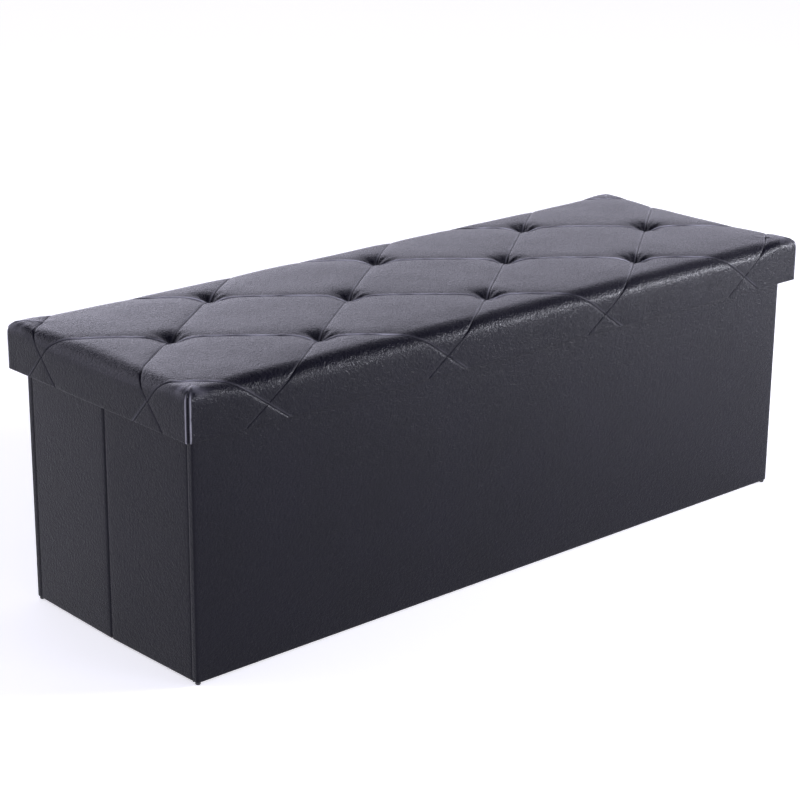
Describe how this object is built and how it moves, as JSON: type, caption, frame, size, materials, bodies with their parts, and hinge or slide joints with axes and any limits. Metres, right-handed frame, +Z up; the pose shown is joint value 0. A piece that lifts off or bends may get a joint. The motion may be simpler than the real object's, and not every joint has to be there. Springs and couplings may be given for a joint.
{
  "type": "storage ottoman",
  "caption": "Long folding storage ottoman: box of hinged black faux leather panels under a loose padded lid with diamond stitching and pulled tufts.",
  "frame": {"origin": "middle of the footprint, on the floor", "axes": "+X along the length, -Y towards the front wall, +Z up"},
  "size_m": [1.1, 0.38, 0.38],
  "materials": {
    "black_leather": "satin",
    "lining_cloth": "matte",
    "tape_cloth": "matte",
    "fibreboard": "matte",
    "foam": "matte",
    "tuft_cord": "matte",
    "strap_webbing": "matte",
    "glide_plastic": "matte"
  },
  "bodies": {
    "front_wall": {"front_board": "fibreboard", "front_cover": "black_leather", "front_lining": "lining_cloth", "left_front_corner_tape": "tape_cloth", "right_front_corner_tape": "tape_cloth", "base_hinge_tape": "tape_cloth", "front_glides": "glide_plastic"},
    "left_front_half": {"left_front_board": "fibreboard", "left_front_cover": "black_leather", "left_front_lining": "lining_cloth", "left_fold_tape": "black_leather"},
    "left_back_half": {"left_back_board": "fibreboard", "left_back_cover": "black_leather", "left_back_lining": "lining_cloth"},
    "right_front_half": {"right_front_board": "fibreboard", "right_front_cover": "black_leather", "right_front_lining": "lining_cloth", "right_fold_tape": "black_leather"},
    "right_back_half": {"right_back_board": "fibreboard", "right_back_cover": "black_leather", "right_back_lining": "lining_cloth"},
    "back_wall": {"back_board": "fibreboard", "back_cover": "black_leather", "back_lining": "lining_cloth", "left_back_corner_tape": "tape_cloth", "right_back_corner_tape": "tape_cloth", "back_glides": "glide_plastic"},
    "base": {"base_board": "fibreboard", "base_lining": "lining_cloth", "base_pull_strap": "strap_webbing"},
    "lid": {"lid_board": "fibreboard", "lid_front_rail": "fibreboard", "lid_back_rail": "fibreboard", "lid_left_rail": "fibreboard", "lid_right_rail": "fibreboard", "lid_foam": "foam", "lid_cover": "black_leather", "lid_lining": "lining_cloth", "lid_tuft_cords": "tuft_cord"}
  },
  "joints": [
    {"name": "lid_lift", "type": "slide", "parent": "front_wall", "child": "lid", "axis": [0, 0, 1], "range_m": [0, 0.4]},
    {"name": "base_flap", "type": "hinge", "parent": "front_wall", "child": "base", "pos_m": [0, -0.1642, 0.0027], "axis": [-1, 0, 0], "range_deg": [-90, 0]},
    {"name": "wall_fold", "type": "hinge", "parent": "front_wall", "child": "left_front_half", "pos_m": [-0.525, -0.158, 0.17], "axis": [0, 0, 1], "range_deg": [-91.2, 0]},
    {"name": "left_mid_fold", "type": "hinge", "parent": "left_front_half", "child": "left_back_half", "pos_m": [-0.53756, 0, 0.17], "axis": [0, 0, 1], "range_deg": [0, 182.4]},
    {"name": "left_back_fold", "type": "hinge", "parent": "left_back_half", "child": "back_wall", "pos_m": [-0.525, 0.158, 0.17], "axis": [0, 0, 1], "range_deg": [-91.2, 0]},
    {"name": "right_front_fold", "type": "hinge", "parent": "front_wall", "child": "right_front_half", "pos_m": [0.525, -0.158, 0.17], "axis": [0, 0, 1], "range_deg": [0, 91.2]},
    {"name": "right_mid_fold", "type": "hinge", "parent": "right_front_half", "child": "right_back_half", "pos_m": [0.53756, 0, 0.17], "axis": [0, 0, 1], "range_deg": [-182.4, 0]}
  ],
  "couplings": [
    {"joint": "left_mid_fold", "follows": "wall_fold", "ratio": -2},
    {"joint": "left_back_fold", "follows": "wall_fold", "ratio": 1},
    {"joint": "right_front_fold", "follows": "wall_fold", "ratio": -1},
    {"joint": "right_mid_fold", "follows": "wall_fold", "ratio": 2}
  ]
}
